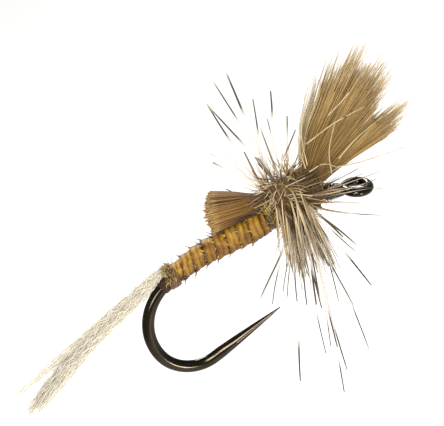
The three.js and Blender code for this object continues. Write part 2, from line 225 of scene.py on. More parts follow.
class Look:
    """A node material, with short calls for the nodes that most looks need."""

    def __init__(self, name, **sockets):
        self.material = bpy.data.materials.new(name)
        self.material.use_nodes = True
        self.nodes = self.material.node_tree.nodes
        self.links = self.material.node_tree.links
        self.shader = self.nodes["Principled BSDF"]
        for socket, value in sockets.items():
            self.shader.inputs[socket.replace("_", " ")].default_value = value

    def node(self, kind, inputs=(), **settings):
        """A new node; each input is a socket to link from or a plain value."""
        made = self.nodes.new("ShaderNode" + kind)
        for key, value in settings.items():
            setattr(made, key, value)
        for socket, value in dict(inputs).items():
            if isinstance(value, bpy.types.NodeSocket):
                self.links.new(value, made.inputs[socket])
            else:
                made.inputs[socket].default_value = value
        return made

    def value(self, name):
        """A value that the mesh carries at each vertex."""
        return self.node("Attribute", attribute_name=name).outputs["Fac"]

    def noise(self, per_mm, detail=3.0, stretch=(1, 1, 1)):
        """Noise in the object's own space, with so many features in a millimetre."""
        place = self.node("TexCoord").outputs["Object"]
        scale = tuple(s / MM for s in stretch)
        scaled = self.node("Mapping", {"Vector": place, "Scale": scale}).outputs["Vector"]
        return self.node("TexNoise", {"Vector": scaled, "Scale": per_mm, "Detail": detail}).outputs["Fac"]

    def streaks(self, along, across, detail):
        """Noise drawn out along a strand: two values, already scaled, take the place of x and y."""
        place = self.node("CombineXYZ", {"X": along, "Y": across}).outputs["Vector"]
        return self.node("TexNoise", {"Vector": place, "Scale": 1.0, "Detail": detail}).outputs["Fac"]

    def maths(self, operation, a, b):
        """One step of arithmetic on two values, each a socket or a number."""
        return self.node("Math", {0: a, 1: b}, operation=operation).outputs["Value"]

    def times(self, a, b):
        return self.maths("MULTIPLY", a, b)

    def shade(self, per_mm):
        """Half the piece's own tint and half noise, so that no two strands are quite alike."""
        return self.times(self.maths("ADD", self.value("tint"), self.noise(per_mm)), 0.5)

    def ramp(self, factor, *stops):
        """A colour ramp; each stop is a place from 0 to 1 and a colour or a grey."""
        made = self.node("ValToRGB", {"Fac": factor})
        elements = made.color_ramp.elements
        for i, (place, colour) in enumerate(stops):
            element = elements[i] if i < 2 else elements.new(place)
            element.position = place
            rgb = colour if isinstance(colour, tuple) else (colour,) * 3
            element.color = (*rgb, 1.0)
        return made.outputs["Color"]

    def mix(self, factor, a, b, blend="MIX"):
        """Two colours mixed; the factor and the colours are sockets or plain values."""
        a, b = ((*colour, 1.0) if isinstance(colour, tuple) else colour for colour in (a, b))
        return self.node("Mix", {0: factor, 6: a, 7: b}, data_type="RGBA", blend_type=blend).outputs[2]

    def bump(self, height, depth_mm, strength=1.0):
        """Raises the surface by a height from 0 to 1, times a depth."""
        made = self.node("Bump", {"Height": height, "Distance": depth_mm * MM, "Strength": strength})
        self.links.new(made.outputs["Normal"], self.shader.inputs["Normal"])

    def set(self, socket, output):
        """Links an output to a socket of the material's shader."""
        self.links.new(output, self.shader.inputs[socket])

    def colour(self, factor, *stops):
        """Gives the shader the colours of a ramp."""
        self.set("Base Color", self.ramp(factor, *stops))


def wire_look():
    """Black-nickelled steel with a warm bronze cast, mirror-smooth but for fine drawing marks."""
    look = Look("black_bronze_wire", Metallic=1.0)
    cast = look.noise(1.6, 2.0)
    look.colour(cast, (0.3, (0.021, 0.0175, 0.012)), (0.7, (0.033, 0.0275, 0.02)))
    look.set("Roughness", look.ramp(look.noise(6.0, 4.0), (0.3, 0.11), (0.7, 0.18)))
    look.bump(look.noise(14.0, 2.0), 0.002, 0.15)
    return look.material


def thread_look(name, dark, light):
    """Waxed tying thread: colour that shifts from turn to turn, with a fine twist."""
    look = Look(name, Roughness=0.45)
    look.colour(look.shade(9.0), (0.25, dark), (0.75, light))
    look.bump(look.noise(45.0, 2.0), 0.01, 0.8)
    return look.material


def shaded_thread_look():
    """The CAD thread layers, which lie under everything else: ribbed along the shank, and painted near black
    as deep shade, darker than the thread in sight.
    """
    look = Look("thread_in_painted_shade", Roughness=0.5, Specular_IOR_Level=0.1)
    rib = look.noise(3.0, 1.0, (20, 0.5, 0.5))
    # Painted shade: the same thread as the wraps in sight, made near black.
    look.colour(rib, (0.3, (0.012, 0.007, 0.004)), (0.7, (0.035, 0.02, 0.011)))
    look.bump(rib, 0.02, 0.8)
    return look.material


def yarn_look():
    """Clear crimped yarn, creamy in bulk, which lets the light through."""
    look = Look("shuck_yarn", Roughness=0.35, Alpha=0.48)
    look.colour(look.shade(2.5), (0.2, (0.5, 0.45, 0.36)), (0.8, (0.74, 0.7, 0.59)))
    return look.material


def biot_look():
    """A golden quill strip with fine streaks along it. Its satin crowns are painted lighter as a sheen. Its
    groove and edges are darker, partly the quill's own dark edge and partly painted shade. It is also
    painted darker towards the underside as shade.
    """
    look = Look("golden_biot", Roughness=0.5, Specular_IOR_Level=0.2)
    wander = look.times(look.maths("SUBTRACT", look.noise(3.5), 0.5), 0.45)
    across = look.maths("ADD", look.value("across"), wander)
    # Across the strip the colour follows the ridges. The lighter crowns are a painted sheen. The dark groove
    # and edges, where the strip sinks, are partly the quill's own dark edge and partly painted shade.
    ridge_colour_and_painted_shade = look.ramp(
        across,
        (0.0, (0.1, 0.045, 0.01)), (0.1, (0.24, 0.125, 0.02)), (0.26, (0.51, 0.355, 0.08)),
        (0.42, (0.42, 0.265, 0.04)), (0.5, (0.15, 0.07, 0.01)), (0.6, (0.38, 0.235, 0.035)),
        (0.75, (0.51, 0.35, 0.065)), (0.95, (0.15, 0.075, 0.012)),
    )
    along_strip = look.times(look.value("run"), 1.6)
    across_strip = look.times(look.value("across"), 26.0)
    fine = look.streaks(along_strip, across_strip, 5.0)
    streaked = look.mix(look.ramp(fine, (0.38, 0.0), (0.66, 0.85)), ridge_colour_and_painted_shade, (0.17, 0.085, 0.016))
    mottle = look.ramp(
        look.noise(2.1, 4.0),
        (0.32, (0.24, 0.125, 0.055)), (0.43, (0.5, 0.4, 0.19)), (0.56, (0.7, 0.62, 0.38)),
        (0.7, (0.95, 0.93, 0.95)),
    )
    # Painted shade: the strip is darkened towards the underside of the abdomen.
    low = look.ramp(look.value("low"), (0.25, (1.0, 0.98, 0.94)), (0.9, (0.38, 0.29, 0.17)))
    shaded = look.mix(1.0, streaked, low, "MULTIPLY")
    look.set("Base Color", look.mix(1.0, shaded, mottle, "MULTIPLY"))
    look.bump(fine, 0.02, 0.8)
    return look.material


def fringe_look():
    """The biot's loose edge fibres: the long ones dark, the short ones golden."""
    look = Look("biot_fringe", Roughness=0.5)
    tint = look.value("tint")
    look.colour(tint, (0.0, (0.05, 0.03, 0.012)), (0.3, (0.22, 0.11, 0.02)), (1.0, (0.52, 0.34, 0.09)))
    return look.material


def wing_look():
    """Soft wing fibre: golden at the trimmed butt, darkest at the waist, and tan at a thinner tip. The
    lowest fibres are painted nearly black from the butt to the waist, as the shadow between the stub and the
    abdomen.
    """
    look = Look("wing_fibre", Roughness=0.6, Specular_IOR_Level=0.25)
    along = look.value("along")
    shade = look.ramp(
        along,
        (0.0, (0.26, 0.165, 0.06)), (0.04, (0.17, 0.093, 0.024)), (0.2, (0.092, 0.044, 0.008)),
        (0.34, (0.036, 0.018, 0.005)), (0.46, (0.05, 0.025, 0.004)), (0.58, (0.1, 0.054, 0.009)),
        (0.74, (0.195, 0.122, 0.038)), (0.88, (0.31, 0.21, 0.09)), (1.0, (0.52, 0.4, 0.23)),
    )
    tint = look.value("tint")
    tint = look.ramp(tint, (0.0, (0.8, 0.74, 0.64)), (0.5, (0.98, 0.97, 0.94)), (1.0, (1.14, 1.14, 1.1)))
    # Painted shadow: from the butt to the waist the lowest fibres are darkened nearly to black, as the shade
    # where the stub lies over the abdomen.
    butt = look.ramp(along, (0.02, 0.0), (0.12, 1.0), (0.3, 1.0), (0.36, 0.0))
    shade = look.mix(look.times(butt, look.value("under")), shade, (0.035, 0.016, 0.006))
    look.set("Base Color", look.mix(1.0, shade, tint, "MULTIPLY"))
    look.set("Alpha", look.ramp(along, (0.84, 1.0), (1.0, 0.4)))
    return look.material


def dubbing_look():
    """Olive-yellow fur below. Above, where the wing and the hackle are tied in, a dark brown is painted as
    the shade under them.
    """
    look = Look("olive_dubbing", Roughness=0.8, Specular_IOR_Level=0.2)
    shade = look.shade(4.0)
    olive = (0.2, (0.07, 0.045, 0.012)), (0.5, (0.26, 0.18, 0.04)), (0.8, (0.5, 0.37, 0.11))
    brown = (0.2, (0.022, 0.011, 0.006)), (0.5, (0.1, 0.052, 0.024)), (0.8, (0.3, 0.2, 0.1))
    olive, brown = look.ramp(shade, *olive), look.ramp(shade, *brown)
    # Painted shade: fibres high on the thorax take the dark brown, as the shade under the wing and the
    # hackle.
    look.set("Base Color", look.mix(look.value("high"), olive, brown))
    look.bump(look.noise(12.0), 0.05, 1.0)
    return look.material


def barb_look():
    """Barred feather: tan near the stem, then long dark bars between pale gaps that are nearly clear."""
    look = Look("barred_hackle", Roughness=0.45, Specular_IOR_Level=0.2)
    bars = look.maths("FRACT", look.value("bars"), 0.0)
    barred = look.ramp(
        bars,
        (0.0, (0.12, 0.09, 0.06)), (0.05, (0.042, 0.032, 0.022)), (0.32, (0.046, 0.035, 0.024)),
        (0.42, (0.2, 0.155, 0.105)), (0.52, (0.72, 0.66, 0.56)), (0.86, (0.72, 0.66, 0.56)),
        (1.0, (0.22, 0.17, 0.12)),
    )
    near = look.ramp(look.times(look.value("reach"), 0.25), (0.3, 1.0), (0.72, 0.0))
    near = look.times(near, look.value("web"))
    web = look.ramp(
        look.value("tint"),
        (0.0, (0.035, 0.02, 0.009)), (0.18, (0.11, 0.068, 0.034)), (0.32, (0.31, 0.22, 0.125)),
        (0.62, (0.62, 0.51, 0.345)), (0.85, (0.42, 0.31, 0.165)), (1.0, (0.27, 0.19, 0.055)),
    )
    look.set("Base Color", look.mix(near, barred, web))
    cover = look.ramp(bars, (0.0, 0.8), (0.05, 1.0), (0.4, 1.0), (0.52, 0.38), (0.88, 0.38), (1.0, 0.8))
    look.set("Alpha", look.maths("MAXIMUM", cover, near))
    return look.material


def varnish_look():
    """Clear head cement over dark thread: nearly black, and wet."""
    look = Look("head_varnish", Roughness=0.12, Specular_IOR_Level=0.2)
    look.colour(look.noise(3.0), (0.35, (0.007, 0.005, 0.003)), (0.7, (0.026, 0.018, 0.008)))
    look.bump(look.noise(5.0, 2.0), 0.02, 0.5)
    return look.material


def stray_look():
    """The pale fibres that stand clear of the wing, each more or less see-through."""
    look = Look("stray_fibre", Roughness=0.5)
    look.colour(look.noise(1.5), (0.3, (0.3, 0.215, 0.1)), (0.7, (0.5, 0.4, 0.24)))
    look.set("Alpha", look.value("clear"))
    return look.material


def floor_look():
    """The studio's floor, close to white."""
    look = Look("pale_floor", Roughness=0.9)
    look.colour(look.noise(0.02, 2.0), (0.0, 0.95), (1.0, 0.97))
    return look.material


# ---- Hook ----

NECK_START = EYE_MID_RADIUS * np.array([-math.cos(EYE_DROOP), 0, math.sin(EYE_DROOP)])
BEND_STEP = 2.5  # degrees of the bend from one point of the path to the next
POINT_SHARE = 0.06  # the wire's size at the point over its full size
NECK_SHARE = 0.74  # the wire's size where it meets the eye over its full size
NECK_TAPER_LENGTH = 1.2
FORGING_RUN = 1.2  # from the shank's rear to the start of the forging, and on to its full depth
FATTENED = 0.06  # how much fatter the forged wire is drawn than in the CAD model
CLEAR_OF_ROUND = 1.1  # a half width, over the wire's radius, that leaves a round wire round


def walk(start, heading, moves):
    """Points of a path in the XZ plane: each move is (length, radius, turn in degrees, steps)."""
    here = np.array(start, float)
    points = [here.copy()]
    for length, radius, turn, steps in moves:
        bend = math.radians(turn) / steps
        chord = length / steps if radius == 0 else 2 * radius * math.sin(bend / 2)
        for _ in range(steps):
            here = here + chord * np.array([math.cos(heading + bend / 2), 0, math.sin(heading + bend / 2)])
            heading += bend
            points.append(here)
    return np.array(points)


def wire_path():
    """The middle of the wire from the eye to the point, and X where the shank ends and bends."""
    rise = SHANK_Z - NECK_START[2] - NECK_RADIUS * (1 - math.cos(EYE_DROOP))
    shank = [
        (rise / math.sin(EYE_DROOP), 0, 0, 10),
        (0, NECK_RADIUS, math.degrees(EYE_DROOP), 8),
        (SHANK_LENGTH, 0, 0, 12),
    ]
    bend = [(0, radius, turn, math.ceil(turn / BEND_STEP)) for radius, turn in BEND_ARCS]
    spear = (SPEAR_LENGTH, 0, 0, 60)
    points = walk(NECK_START, math.pi - EYE_DROOP, [*shank, *bend, spear])
    return points, points[sum(move[-1] for move in shank), 0]


WIRE, SHANK_REAR = wire_path()


def add_eye(shape):
    """Adds the ring of the eye, which slopes down to the front."""
    tilt = np.array([math.cos(EYE_DROOP), 0, -math.sin(EYE_DROOP)])
    axis = np.array([math.sin(EYE_DROOP), 0, math.cos(EYE_DROOP)])
    steps, sides = 72, 24
    around = circle(steps)[:, None]
    out = (np.cos(around) * tilt + np.sin(around) * LEFT)[:, None]
    section = circle(sides)[:, None]
    ring = EYE_MID_RADIUS * out + EYE_WIRE_RADIUS * (np.cos(section) * out + np.sin(section) * axis)
    shape.add(ring, grid_faces(steps, sides))


def hook():
    """The wire: thinner at the neck, round along the shank, flat-sided in the bend, and pointed."""
    steps = np.linalg.norm(np.diff(WIRE, axis=0), axis=1)
    from_eye = np.concatenate([[0], np.cumsum(steps)])
    to_point = from_eye[-1] - from_eye
    point = POINT_SHARE + (1 - POINT_SHARE) * np.clip(to_point / POINT_TAPER_LENGTH, 0, 1) ** 0.85
    neck = NECK_SHARE + (1 - NECK_SHARE) * np.clip(from_eye / NECK_TAPER_LENGTH, 0, 1)
    behind = (SHANK_REAR - FORGING_RUN - WIRE[:, 0]) / FORGING_RUN
    forged = np.where(WIRE[:, 2] < 0, 1.0, np.clip(behind, 0, 1))
    radius = WIRE_RADIUS * point * neck * (1 + FATTENED * forged)
    round_limit = WIRE_RADIUS * CLEAR_OF_ROUND
    flat = round_limit + (FORGED_HALF_THICKNESS * (1 + FATTENED) - round_limit) * forged
    shape = Shape()
    strands(shape, WIRE[None], radius, 48, LEFT, flat=flat)
    add_eye(shape)
    shape.piece("hook_wire", wire_look(), "hook_wire", "hook")


# ---- Abdomen ----


def shank_axis(x):
    """The height of the wire's middle at positions along the shank."""
    behind = np.maximum(SHANK_REAR - np.asarray(x, float), 0)
    radius = BEND_ARCS[0][0]
    return SHANK_Z - (radius - np.sqrt(radius**2 - behind**2))


def around_shank(x, radius, angle, middle_z=shank_axis):
    """Points at an angle round the shank, from straight up towards the fly's left."""
    x, radius, angle = np.broadcast_arrays(x, radius, angle)
    return np.stack([x, radius * np.sin(angle), middle_z(x) + radius * np.cos(angle)], -1)


BIOT_TURNS = 7.4
BIOT_PITCH = (ABDOMEN_FRONT - ABDOMEN_REAR) / (BIOT_TURNS + 0.8)
BIOT_REAR_EDGE = -0.6  # in pitches from the strip's middle
BIOT_SECTION = (  # across the strip: place in pitches, height over the body, and colour position
    (BIOT_REAR_EDGE, 0.03, 0.02), (-0.56, 0.05, 0.06), (-0.42, 0.048, 0.16),
    (-0.28, 0.04, 0.28), (-0.14, 0.022, 0.42), (-0.08, 0.006, 0.5),
    (-0.02, 0.014, 0.56), (0.1, 0.026, 0.66), (0.26, 0.012, 0.8),
    (0.42, -0.02, 0.95), (0.46, -0.075, 0.98), (-0.56, -0.06, 0.02),
)


def abdomen_radius(x):
    """The body under the strip's ridges: it widens forward, and rounds off at both ends."""
    t = np.clip((x - ABDOMEN_REAR) / (ABDOMEN_FRONT - ABDOMEN_REAR), 0, 1)
    return 0.4 + 0.19 * t - 0.07 * np.clip(t - 0.88, 0, 1) / 0.12 - 0.05 * np.clip(0.06 - t, 0, 1) / 0.06


def biot_course(turn):
    """The strip's middle along the shank and its angle round it, after a number of turns."""
    return ABDOMEN_REAR + BIOT_PITCH * (0.62 + turn), 2 * np.pi * turn + 0.6


def biot_strip(rng):
    """One strip wound forward. Its rear edge stands up over the turn behind it."""
    steps = int((BIOT_TURNS + 1.3) * 56)
    middle, angle = biot_course(np.linspace(-0.6, BIOT_TURNS + 0.7, steps + 1))
    wobble = smooth_noise(rng, steps + 1, 70) * 0.03
    rings = []
    for place, rise, _ in BIOT_SECTION:
        x = np.clip(middle + place * BIOT_PITCH + wobble, ABDOMEN_REAR, ABDOMEN_FRONT)
        rings.append(around_shank(x, abdomen_radius(middle) - 0.03 + rise, angle))
    rings = np.stack(rings, 1)
    sides = len(BIOT_SECTION)
    across = np.broadcast_to([colour for _, _, colour in BIOT_SECTION], rings.shape[:2])
    run = np.repeat(angle * 0.5, sides)
    # How far round towards the underside each ring lies; the strip's look paints shade there.
    low = np.repeat(0.5 - 0.5 * np.cos(angle), sides)
    shape = Shape()
    shape.add(rings, tube_faces(steps + 1, sides), across=across, run=run, low=low)
    shape.piece("biot_strip", biot_look(), "biot", "abdomen_biot")


def biot_fringe(rng):
    """Short fibres along the strip's rear edge, some of them longer on the upper side."""
    count = int(BIOT_TURNS * 46)
    middle, angle = biot_course(rng.uniform(-0.4, BIOT_TURNS, count))
    upper = np.cos(angle + 0.5) > 0
    root_x = np.clip(middle + BIOT_REAR_EDGE * BIOT_PITCH, ABDOMEN_REAR, ABDOMEN_FRONT)
    radius = abdomen_radius(middle)
    length = rng.uniform(0.04, 0.13, count) + np.where(upper & (rng.random(count) < 0.3), 0.16, 0.0)
    swing = angle + rng.uniform(-0.25, 0.35, count)
    knots = [
        around_shank(root_x + 0.04, radius - 0.02, angle),
        around_shank(root_x - 0.25 * length, radius + 0.45 * length, (angle + swing) / 2),
        around_shank(root_x - 0.75 * length, radius + 0.85 * length, swing),
    ]
    shape = Shape()
    paths = through(np.stack(knots, 1), 6)
    radii = np.linspace(0.024, 0.006, 6)
    strands(shape, paths, radii, tint=rng.uniform(0, 1, count) * (length < 0.2))
    shape.piece("biot_fringe", fringe_look(), "biot")


# ---- Thread ----


def thread_turns(shape, rng, rear, front, radius_at, turns, thread=0.028, middle_z=shank_axis):
    """A helix of thread from rear to front, with turns that wander a little."""
    steps = int(turns * 26)
    turn = np.linspace(0, turns, steps + 1)
    x = np.linspace(rear, front, steps + 1) + smooth_noise(rng, steps + 1, int(turns * 3)) * 0.02
    points = around_shank(x, radius_at(x), 2 * np.pi * turn, middle_z)
    tint = smooth_noise(rng, steps + 1, int(turns * 2)) * 0.5 + 0.5
    strands(shape, points[None], thread, 6, squash=0.8, tint=tint[None])


def tail_wraps(rng, look):
    """Wraps over the root of the tail: forward, back over themselves, and a layer beneath."""
    span = TAIL_WRAPS_FRONT - TAIL_WRAPS_REAR
    rear, front = TAIL_WRAPS_REAR + 0.5 * span, TAIL_WRAPS_FRONT

    def radius_at(x):
        return 0.29 + 0.14 * np.clip(1.8 * (x - TAIL_WRAPS_REAR) / span - 0.5, 0, 1)

    shape = Shape()
    for first, last, turns in ((rear, front, 7), (front, rear, 5)):
        thread_turns(shape, rng, first, last, radius_at, turns)
    thread_turns(shape, rng, rear, front, lambda x: radius_at(x) - 0.03, 6, 0.035)
    shape.piece("tail_thread", look, "tie_thread", "tail_tie_wraps")


def abdomen_wraps(rng, look):
    """Two layers of wraps over the front end of the biot."""
    low, high = box_mm("abdomen_tie_wraps")
    shape = Shape()
    for radius in (0.45, 0.42):
        thread_turns(shape, rng, low[0] - 0.05, high[0] + 0.05, lambda x: radius, 6, 0.032)
    shape.piece("abdomen_thread", look, "tie_thread", "abdomen_tie_wraps")


def tie_wraps():
    """The wraps in sight, and a look for the CAD thread that lies under other materials, painted near black
    as deep shade.
    """
    look = thread_look("maroon_thread", (0.026, 0.011, 0.006), (0.14, 0.068, 0.022))
    rng = np.random.default_rng(11)
    tail_wraps(rng, look)
    abdomen_wraps(rng, look)
    shaded_thread = shaded_thread_look()
    for node in ("thread_base", "thread_underbody", "wing_tie_wraps"):
        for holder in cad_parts[node].material_slots:
            holder.material = shaded_thread


def tail_tuft():
    """Loose fibres at the root of the tail, above the bend."""
    rng = np.random.default_rng(5)
    count = 130
    rear, front = -8.16, -7.7
    x = rng.uniform(rear, front, count)
    angle = rng.uniform(-1.35, 1.35, count)
    length = rng.uniform(0.08, 0.34, count)
    root = around_shank(x, 0.4, angle)
    out = unit(root - around_shank(x, 0.0, angle))
    heading = unit(0.8 * out + rng.normal(0, 0.4, (count, 3)) - 0.6 * FORWARD)
    middle = root + heading * length[:, None] * 0.5 + rng.normal(0, 0.02, (count, 3))
    tip = root + unit(heading + rng.normal(0, 0.5, (count, 3))) * length[:, None]
    shape = Shape()
    paths = through(np.stack([root, middle, tip], 1), 6)
    strands(shape, paths, np.linspace(0.026, 0.008, 6), 3, tint=rng.uniform(0, 1, count))
    look = thread_look("tuft_fibre", (0.06, 0.026, 0.01), (0.42, 0.29, 0.085))
    shape.piece("tail_tuft", look, "tie_thread")


# ---- Tail ----

TAIL_LOCKS = (  # lock, place across the root, fibres, spread across and up, shortest fibre's share
    ("left", 0.44, 44, (0.22, 0.15), 0.55),
    ("middle", 0.36, 90, (0.38, 0.25), 0.9),
    ("right", 0.3, 60, (0.28, 0.21), 0.9),
)
YARN_RADIUS = 0.021
YARN_POINTS = 60


def lock_centre(name, root_y):
    """The middle line of a lock of the tail, from under the wraps to the tip."""
    low, high = box_mm("tail_lock_" + name)
    tip_y = {"left": high[1] - 0.1, "middle": 0.1, "right": low[1] + 0.42}[name]
    root = np.array([high[0] + 0.1, root_y, shank_axis(high[0]) + THREAD_RADIUS + 0.03])
    leaves = np.array([TAIL_WRAPS_REAR, root_y, shank_axis(TAIL_WRAPS_REAR) + THREAD_RADIUS + 0.06])
    tip = np.array([low[0] - 0.15, tip_y, low[2] + 0.06])
    middle = (leaves + tip) / 2 + 0.22 * UP
    if name == "left":
        middle = middle + np.array([0.0, -0.15, -0.1])
    return through(np.stack([root, leaves, middle, tip])[None], YARN_POINTS)[0]


def yarn_paths(rng, centre, count, spread, shortest):
    """Crimped fibres along a middle line; each keeps its place in the lock, which opens out."""
    t = np.linspace(0, 1, YARN_POINTS)[None]
    disc = unit(rng.normal(size=(count, 2))) * np.sqrt(rng.uniform(0, 1, (count, 1)))
    opening = 0.3 + 0.7 * np.clip(t[0] * 2.4 - 0.2, 0, 1) ** 0.7 - 0.45 * np.clip(t[0] - 0.8, 0, 1) / 0.2
    place = t * rng.uniform(shortest, 1.0, (count, 1)) * (YARN_POINTS - 1)
    index = place.astype(int).clip(0, YARN_POINTS - 2)
    share = (place - index)[..., None]
    paths = centre[index] * (1 - share) + centre[index + 1] * share
    opened = np.interp(place, np.arange(YARN_POINTS), opening)
    wander = [[smooth_noise(rng, YARN_POINTS, 5) for _ in range(count)] for _ in spread]
    phase = rng.uniform(0, 2 * np.pi, (count, 1))
    crimps = rng.uniform(10, 17, (count, 1))
    crimp = 0.055 * np.clip(t * 6, 0, 1) * rng.uniform(0.5, 1.2, (count, 1))
    for k, reach in enumerate(spread):
        paths[..., k + 1] += (disc[:, k : k + 1] + 0.35 * np.array(wander[k])) * reach * opened
    paths[..., 1] += crimp * np.sin(2 * np.pi * crimps * t + phase)
    paths[..., 2] += crimp * np.cos(2 * np.pi * crimps * t * 1.07 + 2.3 * phase)
    return paths


def tail():
    """Three locks of crimped yarn."""
    look = yarn_look()
    for seed, (name, root_y, count, spread, shortest) in enumerate(TAIL_LOCKS):
        rng = np.random.default_rng(20 + seed)
        paths = yarn_paths(rng, lock_centre(name, root_y), count, spread, shortest)
        shape = Shape()
        strands(shape, paths, YARN_RADIUS, 4, LEFT, tint=rng.uniform(0, 1, count))
        shape.piece("tail_fibres_" + name, look, "shuck_yarn", "tail_lock_" + name)


# ---- Wing ----

WING_FIBRES = (200, 170, 190, 180, 150)  # in each lock, from the front lobe up
WING_TIPS = np.array([  # the middle of each lock's tip
    [3.52, -0.9, 2.62],
    [3.45, 0.1, 3.65],
    [3.65, 0.35, 4.6],
    [3.2, 0.45, 5.15],
    [2.2, 0.5, 5.3],
])
WING_TUFTS = 6  # in each lock
WAIST_REAR_X, WAIST_MIDDLE_X = -3.3, -2.35
WING_POINTS = 32


def in_stack(first, last, place):
    """A value that runs evenly up the stack of five locks, at places from 0 to 4 or just beyond."""
    return first + (last - first) * place / 4


def wing_tip_at(place):
    """The wing's outline at a place in the stack."""
    ends = np.stack([2 * WING_TIPS[0] - WING_TIPS[1], *WING_TIPS, 2 * WING_TIPS[4] - WING_TIPS[3]])
    return np.stack([np.interp(place, np.arange(-1, 6), ends[:, k]) for k in range(3)], -1)


def wing_knots(rng, i, count):
    """Where one lock's fibres run, in a few ragged tufts, and the place of each in the stack."""
    tuft = rng.integers(0, WING_TUFTS, count)
    tuft_place = rng.uniform(-0.5, 0.5, WING_TUFTS)
    tuft_side = rng.uniform(-1, 1, WING_TUFTS)
    tuft_reach = rng.uniform(0.8, 1.0, WING_TUFTS)
    within = np.clip(tuft_place[tuft] + rng.normal(0, 0.22, count), -0.55, 0.55)
    side = np.clip(tuft_side[tuft] + rng.normal(0, 0.4, count), -1.1, 1.1)
    place = i + within
    front_lobe = i == 0
    half_width = 0.28 if front_lobe else in_stack(0.4, 0.56, place)
    tip = wing_tip_at(0.5 * within if front_lobe else place) + (side * half_width)[:, None] * LEFT

    waist_z = SHANK_Z + in_stack(0.43, 0.95, place)
    waist_y = rng.uniform(-1, 1, count) * 0.26
    butt_y = rng.uniform(-1, 1, count) * in_stack(0.55, 0.9, place)
    butt_z = in_stack(1.62, 2.46, i + 1.1 * within) - 0.12 * butt_y
    butt_x = box_mm(f"wing_lock_{i + 1}")[0][0] + in_stack(0.25, -0.1, place)
    butt_x = butt_x + 0.2 * butt_y + 0.4 * within + rng.normal(0, 0.05, count)
    butt = np.stack([butt_x, butt_y, butt_z], -1)
    mid_x = 0.45 * butt_x + 0.55 * WAIST_REAR_X
    mid = np.stack([mid_x, 0.55 * butt_y, 0.55 * waist_z + 0.45 * butt_z], -1)
    waist = np.stack([np.full(count, WAIST_REAR_X), waist_y, waist_z], -1)
    centre = waist + (WAIST_MIDDLE_X - WAIST_REAR_X) * FORWARD
    lifts = np.stack([in_stack(-1.38, -1.72, place), waist_y, waist_z], -1)

    arch = np.full(count, 0.06) if front_lobe else 0.05 * place
    knee = lifts + 0.3 * (tip - lifts) + arch[:, None] * UP
    bend = lifts + 0.65 * (tip - lifts) + (0.03 * place)[:, None] * UP
    bend += rng.normal(0, 0.05, (count, 3))
    reach = tuft_reach[tuft] - 0.22 * rng.uniform(0, 1, count) ** 2
    if i == 1:
        reach += 0.5 * np.minimum(within, 0)
    end = bend + (tip - bend) * (1 - (1 - reach) / 0.35)[:, None]
    return np.stack([butt, mid, waist, centre, lifts, knee, bend, end], 1), place


def wing():
    """Fibre bunches, each whole from its trimmed butt, through the waist, to its ragged tip."""
    look = wing_look()
    body = np.full(WING_POINTS, 0.026)
    body[-8:] = np.linspace(0.025, 0.006, 8)
    for i, count in enumerate(WING_FIBRES):
        rng = np.random.default_rng(40 + i)
        knots, place = wing_knots(rng, i, count)
        radii = body * rng.uniform(0.7, 1.2, (count, 1))
        # How much of the painted shadow under the stub each fibre takes: all in the lowest lock, less in the
        # next, none above.
        under = np.clip(1.25 - 0.9 * place, 0, 1)
        shape = Shape()
        paths = through(knots, WING_POINTS)
        strands(shape, paths, radii, 4, LEFT, tint=rng.uniform(0, 1, count), under=under)
        shape.piece(f"wing_fibres_{i + 1}", look, "wing_fibre", f"wing_lock_{i + 1}")


STRAY_FIBRES = (  # pale fibres that lie across the near side of the wing: X and Z of three points
    ((-0.95, 2.75), (0.4, 2.98), (1.7, 2.98)), ((0.3, 3.4), (0.9, 3.62), (1.45, 3.86)),
    ((-0.62, 1.07), (-0.3, 2.0), (0.38, 2.96)), ((-0.12, 1.5), (0.95, 1.95), (2.15, 2.22)),
    ((-1.35, 1.6), (-0.72, 1.6), (-0.25, 1.1)), ((-1.3, 1.9), (-0.95, 3.2), (-0.1, 4.7)),
    ((-1.42, 1.8), (-1.2, 2.9), (-0.55, 3.9)), ((-0.3, 1.2), (0.55, 0.91), (2.35, 0.55)),
)
TOWARDS_NEAR_SIDE = np.array([0.0, -0.866, 0.5])
REAR_EDGE = ((-1.62, 1.87), (-0.74, 3.4), (0.22, 4.5), (0.74, 5.25))  # X and Z up the wing's rear


def wing_strays():
    """Loose pale fibres: a few across the side that faces the camera, and a fringe at the rear."""
    shape = Shape()
    for points in STRAY_FIBRES:
        knots = np.array([[x, 0, z] for x, z in points]) + 1.05 * TOWARDS_NEAR_SIDE
        strands(shape, through(knots[None], 20), np.linspace(0.03, 0.016, 20), 5, clear=0.8)

    rng = np.random.default_rng(52)
    count = 60
    edge = np.array([[x, 0, z] for x, z in REAR_EDGE])
    opened = np.array([0.25, 0.6, 0.9, 1.1])[:, None]  # how far the fringe has spread at each point
    shift = rng.normal(0, 1, (count, 1, 3)) * np.array([0.1, 0.35, 0.10])
    paths = through(edge + shift * opened, 24)
    start = rng.uniform(0, 8, count).astype(int)
    last = rng.uniform(14, 24, count).astype(int)
    for path, first, end in zip(paths, start, last):
        radii = np.linspace(0.026, 0.008, end - first)
        strands(shape, path[first:end][None], radii, clear=0.3)
    shape.piece("wing_strays", stray_look(), "wing_fibre")


# ---- Thorax ----


def thorax_reach(t):
    """The thorax's size over its size in the middle; t runs from 0 at the rear to 1 at the front."""
    return 1 - 0.35 * np.abs(2 * t - 1) ** 3


def round_thorax(x, angle, reach=1.0, gap=0.0):
    """Points round the thorax, or a gap outside it, from straight up towards the fly's left."""
    y = (THORAX_HALF_WIDTH * reach + gap) * np.sin(angle)
    z = THORAX_MID_Z + (THORAX_HALF_HEIGHT * reach + gap) * np.cos(angle)
    return np.stack([x, y, z], -1)


